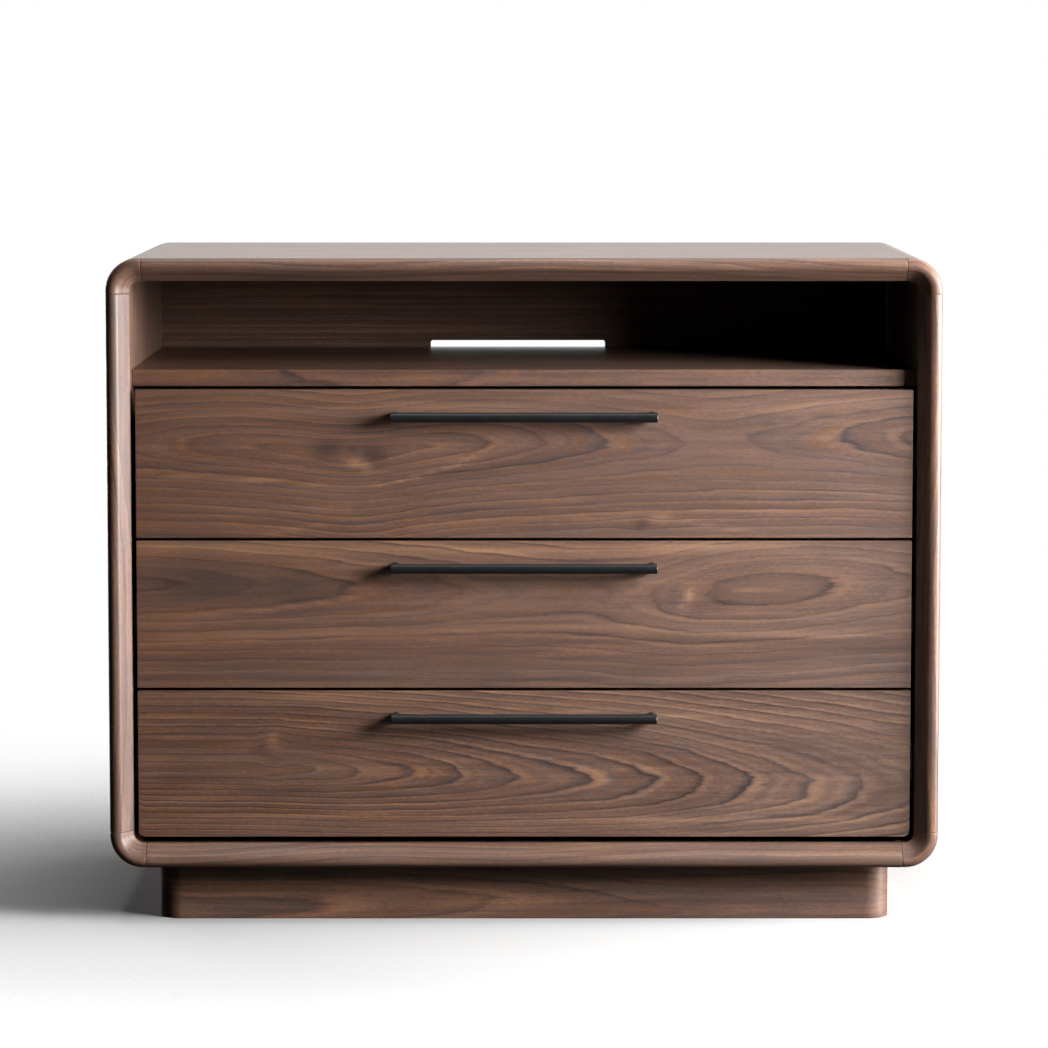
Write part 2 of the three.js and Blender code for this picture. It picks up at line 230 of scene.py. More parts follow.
def walnut(name, seed, contrast=1.0, edges=0.75, saturation_and_painted_sheen=FRAME_FADING, flat=False):
    """Walnut veneer that follows a piece's figure attribute: along, across and ring, in metres.

    Its growth lines lie where the ring is a whole number of ring widths, and edges is their strength, as
    contrast is that of the whole figure. The saturation pair gives the colour's saturation at the middle,
    and its fall per metre along, which is a painted sheen that greys the veneer towards the right, where
    the lamps' light falls most. A flat panel without that attribute takes its grain along X from its own
    coordinates.
    """
    material, tree, shader = new_material(name)
    if flat:
        place = add(tree, "ShaderNodeTexCoord").outputs["Object"]
        along, _, across = add(tree, "ShaderNodeSeparateXYZ", links={0: place}).outputs
        ring = across
    else:
        figure = add(tree, "ShaderNodeAttribute", attribute_name="figure").outputs["Vector"]
        along, across, ring = add(tree, "ShaderNodeSeparateXYZ", links={0: figure}).outputs
    tone = add(tree, "ShaderNodeAttribute", attribute_name="tone").outputs["Fac"]

    def math_node(operation, *operands, clamp=False):
        values = {i: o for i, o in enumerate(operands) if isinstance(o, float)}
        links = {i: o for i, o in enumerate(operands) if not isinstance(o, float)}
        return add(tree, "ShaderNodeMath", values, links, operation=operation, use_clamp=clamp).outputs[0]

    def stretched(along_scale, across_scale):
        """The place on the board, for a noise with so many spots in each metre along and across."""
        scaled = {
            "X": math_node("MULTIPLY", along, float(along_scale)),
            "Y": math_node("MULTIPLY", across, float(across_scale)),
        }
        return add(tree, "ShaderNodeCombineXYZ", {"Z": float(seed)}, scaled).outputs[0]

    # Growth lines waver by a share of a ring, and some rings show more than others
    waver = noise(tree, stretched(11, 60), 1.0, 3.0, 0.6)
    rings = math_node("MULTIPLY_ADD", waver, WAVER, math_node("MULTIPLY_ADD", ring, 1 / RING, -WAVER / 2))
    ring_vector = add(tree, "ShaderNodeCombineXYZ", {"Y": float(seed)}, {"X": rings}).outputs[0]
    bands = noise(tree, ring_vector, 0.9, 3.0, 0.6)
    lines = noise(tree, ring_vector, 5.5, 3.0, 0.65)
    greys = noise(tree, ring_vector, 0.45, 1.0, 0.5)
    edge = add(tree, "ShaderNodeFloatCurve", links={"Value": math_node("FRACT", rings)})
    curve = edge.mapping.curves[0]
    curve.points[0].location = (0.0, RING_CURVE[0][1])
    curve.points[-1].location = (1.0, RING_CURVE[-1][1])
    for place, value in RING_CURVE[1:-1]:
        curve.points.new(place, value)
    edge.mapping.update()
    shown = noise(tree, stretched(3, 14), 1.0)
    presence = math_node("MULTIPLY", math_node("SUBTRACT", shown, 0.25), 2.0, clamp=True)
    edged = math_node("MULTIPLY", math_node("SUBTRACT", edge.outputs[0], 0.5), presence)

    fibre = noise(tree, stretched(28, 900), 1.0, 3.0, 0.7)
    fleck = noise(tree, stretched(140, 520), 1.0, 2.0, 0.6)
    streak = noise(tree, stretched(5, 160), 1.0, 3.0, 0.6)
    mottle = noise(tree, stretched(8, 24), 1.0, 2.0, 0.5)
    # Pores are 0.2 mm wide in the wood and drawn at about 0.5 mm, so that they show
    pores = noise(tree, stretched(110, 2300), 1.0, 1.0, 0.5)
    pore = math_node("MULTIPLY", math_node("SUBTRACT", pores, 0.63, clamp=True), 5.0)
    pore = math_node("MINIMUM", pore, 1.0)

    weights = ((bands, 0.42), (lines, 0.2), (fibre, 0.26), (fleck, 0.32), (streak, 0.4), (mottle, 0.22))
    value = 0.5 - contrast * sum(weight for _, weight in weights) / 2
    for source, weight in weights:
        value = math_node("MULTIPLY_ADD", source, contrast * weight, value)
    value = math_node("MULTIPLY_ADD", edged, contrast * edges, value)
    value = math_node("MULTIPLY_ADD", tone, 0.2, value)
    value = math_node("MULTIPLY_ADD", pore, -0.1, value, clamp=True)
    wood = add(tree, "ShaderNodeValToRGB", links={"Fac": value})
    set_ramp(wood, WALNUT_STOPS)
    # Golden and purplish bands, half of them along the rings and half along the grain
    ringed = noise(tree, ring_vector, 2.6, 2.0, 0.6)
    grained = noise(tree, stretched(9, 170), 1.0, 3.0, 0.65)
    both = math_node("MULTIPLY", math_node("ADD", ringed, grained), 0.5)
    golden = math_node("MULTIPLY_ADD", edged, 0.3, both)
    hue = add(tree, "ShaderNodeValToRGB", links={"Fac": golden})
    set_ramp(hue, HUE_STOPS)
    tinted = {MIX_A: wood.outputs["Color"], MIX_B: hue.outputs["Color"]}
    tint = add(tree, "ShaderNodeMix", {0: 1.0}, tinted, data_type="RGBA", blend_type="MULTIPLY")
    grey_share = math_node("MULTIPLY", math_node("SUBTRACT", greys, 0.48, clamp=True), 2.6, clamp=True)
    blend = {0: math_node("MULTIPLY", grey_share, 0.5), MIX_A: tint.outputs[MIX_RESULT]}
    greyed = add(tree, "ShaderNodeMix", {MIX_B: linear("#5f534d")}, blend, data_type="RGBA")
    # Painted sheen: the saturation falls along the piece, greying it where the lamps' light falls most
    saturation = math_node("MULTIPLY_ADD", along, -saturation_and_painted_sheen[1], saturation_and_painted_sheen[0])
    saturation_inputs = {"Saturation": saturation, "Color": greyed.outputs[MIX_RESULT]}
    greyed_with_painted_sheen = add(tree, "ShaderNodeHueSaturation", links=saturation_inputs)
    tree.links.new(greyed_with_painted_sheen.outputs[0], shader.inputs["Base Color"])
    rough = math_node("MULTIPLY_ADD", fibre, 0.1, 0.36)
    tree.links.new(rough, shader.inputs["Roughness"])
    relief = math_node("MULTIPLY_ADD", fibre, 0.5, math_node("MULTIPLY", pore, -1.0))
    bump = add(tree, "ShaderNodeBump", {"Strength": 0.12, "Distance": 0.0004}, {"Height": relief})
    tree.links.new(bump.outputs[0], shader.inputs["Normal"])
    shader.inputs["IOR"].default_value = 1.5
    return material


def beech(name):
    """Beech boards of a drawer box, planed and clear oiled: pale, even, with short dark flecks."""
    material, tree, shader = new_material(name)
    place = add(tree, "ShaderNodeTexCoord").outputs["Object"]
    grain = add(tree, "ShaderNodeMapping", {"Scale": (9, 9, 260)}, {"Vector": place}).outputs[0]
    flecks = add(tree, "ShaderNodeMapping", {"Scale": (160, 160, 900)}, {"Vector": place}).outputs[0]
    soft = noise(tree, grain, 1.0, 3.0, 0.6)
    fleck = noise(tree, flecks, 1.0, 1.0, 0.5)
    ramp = add(tree, "ShaderNodeValToRGB", links={"Fac": soft})
    set_ramp(ramp, ((0.25, "#b28d62"), (0.55, "#c9a67c"), (0.8, "#d6b78f")))
    spots = add(tree, "ShaderNodeValToRGB", links={"Fac": fleck})
    set_ramp(spots, ((0.3, "#a98258"), (0.42, "#ffffff")))
    both = {MIX_A: ramp.outputs["Color"], MIX_B: spots.outputs["Color"]}
    mixed = add(tree, "ShaderNodeMix", {0: 0.45}, both, data_type="RGBA", blend_type="MULTIPLY")
    tree.links.new(mixed.outputs[MIX_RESULT], shader.inputs["Base Color"])
    shader.inputs["Roughness"].default_value = 0.55
    bump = add(tree, "ShaderNodeBump", {"Strength": 0.1, "Distance": 0.0003}, {"Height": soft})
    tree.links.new(bump.outputs[0], shader.inputs["Normal"])
    return material


def zinc_steel(name):
    """Zinc-plated rolled steel of the slides: grey metal with a faint cloudy bloom and rolling lines."""
    material, tree, shader = new_material(name)
    place = add(tree, "ShaderNodeTexCoord").outputs["Object"]
    rolled = add(tree, "ShaderNodeMapping", {"Scale": (700, 14, 700)}, {"Vector": place}).outputs[0]
    lines = noise(tree, rolled, 1.0, 2.0, 0.6)
    bloom = noise(tree, place, 55.0, 3.0, 0.6)
    ramp = add(tree, "ShaderNodeValToRGB", links={"Fac": bloom})
    set_ramp(ramp, ((0.3, "#a6a9ad"), (0.7, "#c3c6ca")))
    tree.links.new(ramp.outputs["Color"], shader.inputs["Base Color"])
    shader.inputs["Metallic"].default_value = 1.0
    rough = add(tree, "ShaderNodeMapRange", {"To Min": 0.26, "To Max": 0.44}, {"Value": lines})
    tree.links.new(rough.outputs[0], shader.inputs["Roughness"])
    return material


def black_coat(name):
    """Black powder coat on steel: satin black with a very fine orange-peel skin."""
    material, tree, shader = new_material(name)
    place = add(tree, "ShaderNodeTexCoord").outputs["Object"]
    peel = noise(tree, place, 900.0, 2.0, 0.5)
    cloud = noise(tree, place, 60.0, 2.0, 0.5)
    ramp = add(tree, "ShaderNodeValToRGB", links={"Fac": cloud})
    set_ramp(ramp, ((0.3, "#121315"), (0.7, "#1a1b1e")))
    tree.links.new(ramp.outputs["Color"], shader.inputs["Base Color"])
    rough = add(tree, "ShaderNodeMapRange", {"To Min": 0.36, "To Max": 0.46}, {"Value": peel})
    tree.links.new(rough.outputs[0], shader.inputs["Roughness"])
    bump = add(tree, "ShaderNodeBump", {"Strength": 0.15, "Distance": 0.0001}, {"Height": peel})
    tree.links.new(bump.outputs[0], shader.inputs["Normal"])
    return material


BEECH = beech("beech_planed_and_oiled")
ZINC = zinc_steel("zinc_plated_rolled_steel")
BLACK = black_coat("black_powder_coat_satin")


# Figure of the veneer


def soft_line(places, xs, ys, window):
    """Values of a given line at places, rounded by averaging straight interpolation over a window."""
    shifts = np.linspace(-window, window, 9)
    return np.mean([np.interp(places + shift, xs, ys) for shift in shifts], axis=0)


def plain_figure(seed):
    """Figure of an ordinary board: a heart line that wanders across, and a depth that rises and falls."""
    chance = np.random.default_rng(seed)
    xs = np.linspace(-0.6, 0.6, 7)
    return {
        "xs": xs,
        "heart": chance.uniform(-1, 1, 7) * HEART_WANDER + chance.uniform(-1, 1) * HEART_SHIFT,
        "depth": np.cumsum(chance.uniform(-0.6, 1.0, 7)) * DEPTH_STEP + DEPTH_START,
        "above": 1.0,
        "below": 1.0,
        "knots": (),
        "blots": (),
        "streaks": (),
    }


def drawn_figure(lines, above, below, knots=(), blots=(), streaks=()):
    """Figure of a board from listed (along, heart, depth) points in millimetres."""
    table = np.array(lines, float) * MM
    return {
        "xs": table[:, 0],
        "heart": table[:, 1],
        "depth": table[:, 2],
        "above": above,
        "below": below,
        "knots": knots,
        "blots": blots,
        "streaks": streaks,
    }


def spot(along, across, x, z, length, height):
    """A soft round spot, in millimetres: e to the minus of its two distances squared, each by its size."""
    return np.exp(-((along - x * MM) / (length * MM)) ** 2 - ((across - z * MM) / (height * MM)) ** 2)


def figure_of(along, across, figure):
    """Ring and tone of a board at points along and across it, in metres.

    The ring is the distance to the tree's heart, which lies at a changing depth under a wandering line:
    the root of depth squared plus the squared distance across. Lines bow round each knot, because the
    distance across is drawn in there. The tone adds the pale and dark streaks and the knots' hearts.
    """
    heart = soft_line(along, figure["xs"], figure["heart"], HEART_WINDOW)
    depth = soft_line(along, figure["xs"], figure["depth"], DEPTH_WINDOW)
    tone = np.zeros_like(along)
    for x, z, length, height, pull, colour in figure["knots"]:
        near = spot(along, across, x, z, length, height)
        across = across - (across - z * MM) * near * pull
        tone = tone + colour * near ** 4
    off = across - heart
    share = np.where(off > 0, figure["above"], figure["below"])
    ring = np.sqrt(depth ** 2 + (off * share) ** 2)
    for *place, strength in figure["blots"]:
        tone = tone + strength * spot(along, across, *place)
    for strength, width, fade, points in figure["streaks"]:
        table = np.array(points, float) * MM
        middle = soft_line(along, table[:, 0], table[:, 1], STREAK_WINDOW)
        ends = np.minimum(along - table[0, 0], table[-1, 0] - along) / (fade * MM)
        tone = tone + strength * np.clip(ends, 0, 1) * np.exp(-((across - middle) / (width * MM)) ** 2)
    return ring, tone


# Drawer fronts: places along from the middle and up from the front's lower edge, in millimetres
TOP_FRONT = drawn_figure(
    (
        (-470, 112, 24), (-413, 114, 16), (-320, 112, 8), (-204, 99, 2), (-111, 113, 8), (-42, 118, 16),
        (34, 119, 24), (96, 119, 32), (230, 115, 43), (380, 123, 32), (453, 123, 24), (470, 123, 21),
    ),
    above=0.9,
    below=0.85,
    knots=((-206, 97, 30, 15, 0.5, 0.0), (142, 17, 16, 9, 0.8, -1.2)),
    blots=(
        (-236, 106, 20, 10, -1.3), (-181, 101, 17, 10, -1.5), (-206, 104, 5, 3, -1.6),
        (-200, 93, 14, 4, 1.5), (-189, 86, 8, 5, 1.1), (165, 24, 12, 5, 1.0),
    ),
    streaks=(
        (1.0, 2.2, 30, (
            (-480, 81), (-410, 75), (-324, 70), (-270, 67), (-228, 63), (-175, 64), (-146, 71), (-83, 87),
            (-42, 110),
        )),
        (0.7, 2.0, 30, ((-325, 4), (-260, 14), (-215, 20))),
        (0.6, 4.0, 20, ((-270, 38), (-235, 36), (-195, 40))),
        (0.7, 2.5, 30, ((165, 26), (230, 14), (300, 6))),
        (-0.7, 1.4, 60, ((150, 138), (232, 134), (280, 136), (331, 146), (400, 152), (480, 162))),
        (0.6, 5.0, 80, ((-480, 142), (-330, 150), (-150, 158), (60, 158))),
        (0.5, 6.0, 60, ((150, 150), (250, 152), (400, 164), (480, 166))),
        (-0.5, 5.0, 60, ((-160, 66), (-100, 76), (0, 92), (90, 98))),
    ),
)
MIDDLE_FRONT = drawn_figure(
    (
        (-470, 127, 4), (-414, 127, 8), (-322, 126, 16), (-204, 122, 24), (-60, 118, 33), (60, 112, 38),
        (170, 108, 31), (211, 116, 24), (290, 121, 19), (383, 127, 24), (440, 128, 29), (490, 128, 33),
    ),
    above=0.72,
    below=0.68,
    knots=((199, 113, 14, 12, 0.6, 0.0),),
    blots=(
        (199, 113, 6, 5, 1.5), (232, 103, 26, 5, -0.9), (190, 100, 8, 5, 0.8),
        (-440, 127, 26, 16, 0.6), (-330, 131, 30, 9, 0.4),
    ),
    streaks=(
        (1.0, 7.0, 60, ((-500, 172), (-300, 170), (-100, 168), (100, 168), (260, 172), (360, 172))),
        (0.8, 2.4, 60, ((-480, 88), (-400, 88), (-315, 94), (-218, 108), (-150, 118))),
        (0.6, 3.0, 60, ((-290, 156), (-200, 148), (-120, 148))),
        (-1.0, 20.0, 60, ((-500, 126), (-380, 126), (-290, 124), (-215, 122))),
        (-0.9, 3.5, 25, ((70, 132), (92, 126), (122, 112))),
        (1.1, 2.6, 22, ((244, 118), (285, 119), (330, 123))),
        (0.8, 3.5, 90, ((-480, 62), (-300, 64), (-76, 72), (60, 74), (200, 70), (480, 62))),
        (-0.5, 5.0, 90, ((-60, 56), (100, 58), (280, 56), (480, 52))),
    ),
)
BOTTOM_FRONT = drawn_figure(
    (
        (-470, 86, 3), (-303, 85, 3), (-240, 82, 8), (-207, 80, 16), (-127, 78, 24), (-75, 76, 32),
        (-15, 73, 40), (82, 70, 48), (160, 68, 56), (212, 66, 64), (274, 64, 72), (352, 61, 80),
        (411, 59, 88), (470, 57, 95),
    ),
    above=0.95,
    below=1.15,
    knots=((-303, 104, 15, 24, 0.55, 0.0),),
    blots=((-303, 116, 8, 9, 1.0), (-318, 106, 12, 7, -0.8)),
    streaks=(
        (0.8, 2.5, 60, ((-330, 175), (-200, 172), (-100, 166), (7, 157), (120, 150), (260, 148))),
        (0.6, 4.0, 50, ((-480, 150), (-400, 150), (-330, 152))),
        (0.7, 3.0, 30, ((-400, 96), (-340, 97), (-300, 99))),
        (0.6, 3.5, 60, ((-480, 46), (-380, 47), (-290, 50))),
        (-0.8, 5.0, 60, ((-480, 74), (-380, 72), (-295, 70))),
        (-0.6, 4.0, 50, ((-480, 112), (-400, 113), (-330, 114))),
        (0.5, 7.0, 40, ((-225, 82), (-120, 78), (0, 74), (120, 70))),
        (0.9, 3.0, 90, ((-480, 26), (-200, 25), (200, 22), (480, 24))),
    ),
)


# Meshes


def closed_mesh(name, points, faces):
    """A mesh object of a closed surface, with its faces turned outwards and its long edges kept sharp."""
    mesh = bpy.data.meshes.new(name)
    mesh.from_pydata(points.reshape(-1, 3).tolist(), [], faces)
    work = bmesh.new()
    work.from_mesh(mesh)
    inside_out = work.calc_volume(signed=True) < 0
    work.free()
    if inside_out:
        mesh.flip_normals()
    mesh.polygons.foreach_set("use_smooth", np.ones(len(mesh.polygons), bool))
    mesh.set_sharp_from_angle(angle=SHARP_ANGLE)
    mesh.update()
    piece = bpy.data.objects.new(name, mesh)
    bpy.context.scene.collection.objects.link(piece)
    weigh = piece.modifiers.new("flat faces shade flat", "WEIGHTED_NORMAL")
    weigh.keep_sharp = True
    return piece


def swept_mesh(name, rings):
    """A closed surface through rings of points, shaped (rings, points, 3), with a flat cap at each end."""
    count, size = rings.shape[:2]
    column = np.arange(size)
    row = np.arange(count - 1)[:, None] * size
    near, far = row + column, row + (column + 1) % size
    quads = np.stack([near, far, far + size, near + size], -1).reshape(-1, 4)
    caps = [list(range(size))[::-1], list(range((count - 1) * size, count * size))]
    return closed_mesh(name, rings, quads.tolist() + caps)


def give_figure(piece, along, across, ring, tone):
    """Writes the veneer's attributes on a piece: one vector and one number for each point."""
    layer = piece.data.attributes.new("figure", "FLOAT_VECTOR", "POINT")
    layer.data.foreach_set("vector", np.stack([along, across, ring], -1).astype(np.float32).ravel())
    layer = piece.data.attributes.new("tone", "FLOAT", "POINT")
    layer.data.foreach_set("value", tone.astype(np.float32).ravel())


def finish_piece(piece, material, node):
    """Gives a piece its material, and puts it in the place of a CAD node on that node's body."""
    piece.data.materials.append(material)
    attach(piece, BODY_OF[node])
    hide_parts(node)


def arc(centre, radius, start, end, steps):
    """Points of a round stretch about a centre, and their outward normals."""
    angles = np.linspace(start, end, steps + 1)
    normals = np.stack([np.cos(angles), np.sin(angles)], -1)
    return np.array(centre) + radius * normals, normals


def closed_outline(arcs, step):
    """A closed outline of round stretches and the straights between them, with a point at least every step.

    Gives the points, their outward normals and each point's distance round the outline from the first.
    """
    points, normals = [], []
    for here, following in zip(arcs, arcs[1:] + arcs[:1]):
        points.append(here[0])
        normals.append(here[1])
        gap = following[0][0] - here[0][-1]
        count = int(np.hypot(*gap) / step)
        share = np.arange(1, count + 1)[:, None] / (count + 1)
        points.append(here[0][-1] + gap * share)
        normals.append(np.repeat(here[1][-1:], count, axis=0))
    points, normals = np.concatenate(points), np.concatenate(normals)
    lengths = np.hypot(*np.diff(points, axis=0).T)
    return points, normals, np.concatenate([[0], np.cumsum(lengths)])


def board_section(width, height, radius, step):
    """Outline of a board: width from its front face inward, height up, from the front face's lower arris."""
    turn = math.pi / 2
    far, top = width - radius, height - radius
    centres = ((radius, radius), (radius, top), (far, top), (far, radius))
    starts = (3 * turn, 2 * turn, turn, 0)
    arcs = [arc(centre, radius, start, start - turn, ARRIS_STEPS) for centre, start in zip(centres, starts)]
    return closed_outline(arcs, step)


def carried(section, normals, places, inwards, upward, pull):
    """Rings of a section carried along places: its first number runs inward, and its second upward.

    Each point is drawn in against its normal by pull, given for every ring, or for every ring and point.
    """
    pull = pull if pull.ndim == 2 else pull[:, None]
    drawn = section[None] - normals[None] * pull[..., None]
    return places[:, None] + drawn[..., :1] * inwards[:, None] + drawn[..., 1:] * upward


def stations(length, step, ends):
    """Distances along a board from one end to the other: chosen ones near both ends, even steps between."""
    ends = np.asarray(ends)
    inner = np.linspace(ends[-1], length - ends[-1], max(2, int(length / step)))[1:-1]
    return np.concatenate([ends, inner, (length - ends)[::-1]])


# Places of the points over an end's round, as shares of its radius
ROUND_SHARES = np.array([0.0, 0.12, 0.35, 0.65, 1.0])


def arris_pull(distance, radius):
    """How far an end is drawn in at a distance from it, to round its arris, with a small flat cap left."""
    reach = np.clip(1 - distance / radius, 0, END_REACH)
    return radius * (1 - np.sqrt(1 - reach ** 2))


def straight_board(name, start, direction, length, inward, upward, size, radius, figure, corner=0.0):
    """A board with eased edges: its section carried along a straight line, drawn in at both ends.

    The section's lower front edge runs from start along direction. A corner radius lifts the section's
    lower half at both ends, by the height of a quarter round, which rounds the board's lower corners.
    """
    points, normals, around = board_section(*size, radius, FIGURE_STEP)
    ends = ROUND_SHARES * radius
    if corner:
        rounds = corner * (1 - np.cos(np.linspace(0, math.pi / 2, CORNER_POINTS)))
        ends = np.unique(np.concatenate([ends, rounds]))
    along = stations(length, FIGURE_STEP, ends)
    near = np.minimum(along, length - along)
    places = np.array(start) + along[:, None] * direction
    inwards = np.repeat(inward[None], len(along), axis=0)
    rings = carried(points, normals, places, inwards, upward, arris_pull(near, radius))
    if corner:
        reach = np.clip(1 - near / corner, 0, 1)
        lift = corner * (1 - np.sqrt(1 - reach ** 2))
        lower = np.clip(1 - points[:, 1] * 2 / size[1], 0, 1)
        rings = rings + (lift[:, None] * lower)[..., None] * upward
    piece = swept_mesh(name, rings)
    middle = along - length / 2
    a, b = (v.ravel() for v in np.meshgrid(middle, around, indexing="ij"))
    give_figure(piece, a, b, *figure_of(a, b, figure))
    return piece


# Carcass


def box_of(node):
    """The lowest and highest corner of a CAD node, as arrays."""
    return tuple(np.array(corner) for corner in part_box(node))


frame_low = np.minimum(box_of("left_side_panel")[0], box_of("bottom_panel")[0])
frame_high = np.maximum(box_of("right_side_panel")[1], box_of("top_panel")[1])
DEPTH = frame_high[1] - frame_low[1]


def frame_section():
    """Section of the frame: inward from the outer face, and back from the crest.

    From the back of the outer face it runs forward to a quarter round, over the crest's small arc into the
    straight bevel, and back along the inner face, with small rounds at the bevel's foot and at the back.
    """
    across, behind = BOARD - EDGE_RADIUS, BEVEL_DEPTH - CREST_RADIUS
    slope = math.atan2(behind, across) + math.asin(CREST_RADIUS / math.hypot(across, behind))
    foot = BEVEL_DEPTH + INNER_ARRIS * (1 - math.sin(slope)) / math.cos(slope)
    turn = math.pi / 2
    arcs = [
        arc((BACK_ARRIS, DEPTH - BACK_ARRIS), BACK_ARRIS, turn, 2 * turn, ARRIS_STEPS),
        arc((EDGE_RADIUS, EDGE_RADIUS), EDGE_RADIUS, 2 * turn, 3 * turn, EDGE_STEPS),
        arc((EDGE_RADIUS, CREST_RADIUS), CREST_RADIUS, -turn, slope - turn, CREST_STEPS),
        arc((BOARD - INNER_ARRIS, foot), INNER_ARRIS, slope - turn, 0, FOOT_STEPS),
        arc((BOARD - BACK_ARRIS, DEPTH - BACK_ARRIS), BACK_ARRIS, 0, turn, ARRIS_STEPS),
    ]
    points, normals, around = closed_outline(arcs, PANEL_STEP)
    crest = around[np.argmin(points[:, 1])]
    return points, normals, around - crest


# The groove is whole on the front profile and fades out behind it
SECTION, SECTION_NORMALS, SECTION_AROUND = frame_section()
fade = np.clip((SECTION[:, 1] - GROOVE_FADE_START) / (GROOVE_FADE_END - GROOVE_FADE_START), 0, 1)
GROOVE_WEIGHT = 1 - fade * fade * (3 - 2 * fade)
GROOVE_SHARES = np.array([0.0, 0.3, 0.6, 1.0])


def frame_piece(node, along, places, inwards, material, seed, offset):
    """A stretch of the frame: its section carried along places, with a V-groove at both ends.

    The groove is drawn in over the front profile only, and fades out behind it. Wide faces carry sheets of
    veneer side by side, each the mirror image of the last.
    """
    near = np.minimum(along, along[-1] - along)
    groove = GROOVE_DEPTH * np.clip(1 - near / GROOVE_WIDTH, 0, 1)
    pull = groove[:, None] * GROOVE_WEIGHT
    rings = carried(SECTION, SECTION_NORMALS, places, inwards, Y_AXIS, pull)
    rings[..., 1] += frame_low[1]
    piece = swept_mesh(f"{node}_veneered", rings)
    a, b = (v.ravel() for v in np.meshgrid(along + offset, SECTION_AROUND, indexing="ij"))
    sheet = np.abs((b + SHEET / 2) % (2 * SHEET) - SHEET) - SHEET / 2
    give_figure(piece, a, b, *figure_of(a, sheet, plain_figure(seed)))
    finish_piece(piece, material, node)


def make_frame(material):
    """Four straight boards and four corner blocks, each made between the corners of the outer rectangle."""
    left, _, bottom = frame_low
    right, _, top = frame_high
    corners = [np.array(p) for p in ((left, 0, top), (right, 0, top), (right, 0, bottom), (left, 0, bottom))]
    boards = ("top_panel", "right_side_panel", "bottom_panel", "left_side_panel")
    blocks = ("top_right_corner", "bottom_right_corner", "bottom_left_corner", "top_left_corner")
    block = box_of("top_right_corner")
    arm = block[1][0] - block[0][0] - CORNER_RADIUS
    end = CORNER_RADIUS + arm + SEAM
    ends = GROOVE_SHARES * GROOVE_WIDTH
    for turn, (node, corner_node) in enumerate(zip(boards, blocks)):
        start, stop, after = corners[turn], corners[(turn + 1) % 4], corners[(turn + 2) % 4]
        direction = (stop - start) / np.linalg.norm(stop - start)
        onward = (after - stop) / np.linalg.norm(after - stop)
        length = np.linalg.norm(stop - start) - 2 * end
        along = stations(length, PANEL_STEP, ends)
        places = start + (end + along)[:, None] * direction
        inwards = np.repeat(onward[None], len(along), axis=0)
        frame_piece(node, along, places, inwards, material, BOARD_SEED + turn, -length / 2)
        bend = CORNER_RADIUS * math.pi / 2
        along = stations(bend + 2 * arm, CORNER_STEP, ends)
        angle = np.clip((along - arm) / CORNER_RADIUS, 0, math.pi / 2)[:, None]
        inwards = np.cos(angle) * onward - np.sin(angle) * direction
        middle = stop + CORNER_RADIUS * (onward - direction)
        before = np.clip(arm - along, 0, None)[:, None]
        behind = np.clip(along - arm - bend, 0, None)[:, None]
        places = middle - CORNER_RADIUS * inwards - before * direction + behind * onward
        frame_piece(corner_node, along, places, inwards, material, BLOCK_SEED + turn, 0.0)


def make_shelf(material):
    """The niche's floor: a board with its front edge eased."""
    low, high = box_of("niche_shelf")
    size = (high - low)[[1, 2]]
    figure = plain_figure(SHELF_SEED)
    piece = straight_board(
        "niche_shelf_veneered", low, X_AXIS, high[0] - low[0], Y_AXIS, Z_AXIS, size, ARRIS, figure
    )
    finish_piece(piece, material, "niche_shelf")


def make_plinth(material):
    """The plinth: a front board bent round both corners, and three straight boards behind it."""
    low, high = box_of("plinth_front")
    side_low = box_of("plinth_left")[0]
    thickness = box_of("plinth_left")[1][0] - side_low[0]
    radius = high[1] - low[1]
    bend = radius * math.pi / 2
    straight = high[0] - low[0] - 2 * radius
    along = np.concatenate([
        ROUND_SHARES[:-1] * ARRIS,
        np.linspace(ARRIS, bend, BEND_POINTS)[:-1],
        np.linspace(bend, bend + straight, int(straight / FIGURE_STEP))[:-1],
    ])
    along = np.concatenate([along, [bend + straight], (2 * bend + straight - along[along < bend])[::-1]])
    first = np.clip(along / radius, 0, math.pi / 2)[:, None]
    second = np.clip((along - bend - straight) / radius, 0, math.pi / 2)[:, None]
    angle = first + second
    inwards = np.cos(angle) * X_AXIS + np.sin(angle) * Y_AXIS
    run = np.clip(along - bend, 0, straight)[:, None]
    middle = np.array([low[0] + radius, high[1], low[2]]) + run * X_AXIS
    points, normals, around = board_section(thickness, high[2] - low[2], ARRIS, FIGURE_STEP)
    near = np.minimum(along, along[-1] - along)
    rings = carried(points, normals, middle - radius * inwards, inwards, Z_AXIS, arris_pull(near, ARRIS))
    piece = swept_mesh("plinth_front_veneered", rings)
    a, b = (v.ravel() for v in np.meshgrid(along - along[-1] / 2, around, indexing="ij"))
    give_figure(piece, a, b, *figure_of(a, b, plain_figure(PLINTH_SEED)))
    finish_piece(piece, material, "plinth_front")
    for seed, node in enumerate(("plinth_left", "plinth_right", "plinth_back"), start=PLINTH_SEED + 1):
        low, high = box_of(node)
        size = high - low
        if size[0] > size[1]:
            start, along, inward = np.array([high[0], high[1], low[2]]), -X_AXIS, -Y_AXIS
        elif low[0] < 0:
            start, along, inward = np.array([low[0], high[1], low[2]]), -Y_AXIS, X_AXIS
        else:
            start, along, inward = np.array([high[0], low[1], low[2]]), Y_AXIS, -X_AXIS
        figure = plain_figure(seed)
        piece = straight_board(
            f"{node}_veneered", start, along, max(size[:2]), inward, Z_AXIS, (thickness, size[2]), ARRIS,
            figure,
        )
        finish_piece(piece, material, node)


# Drawers


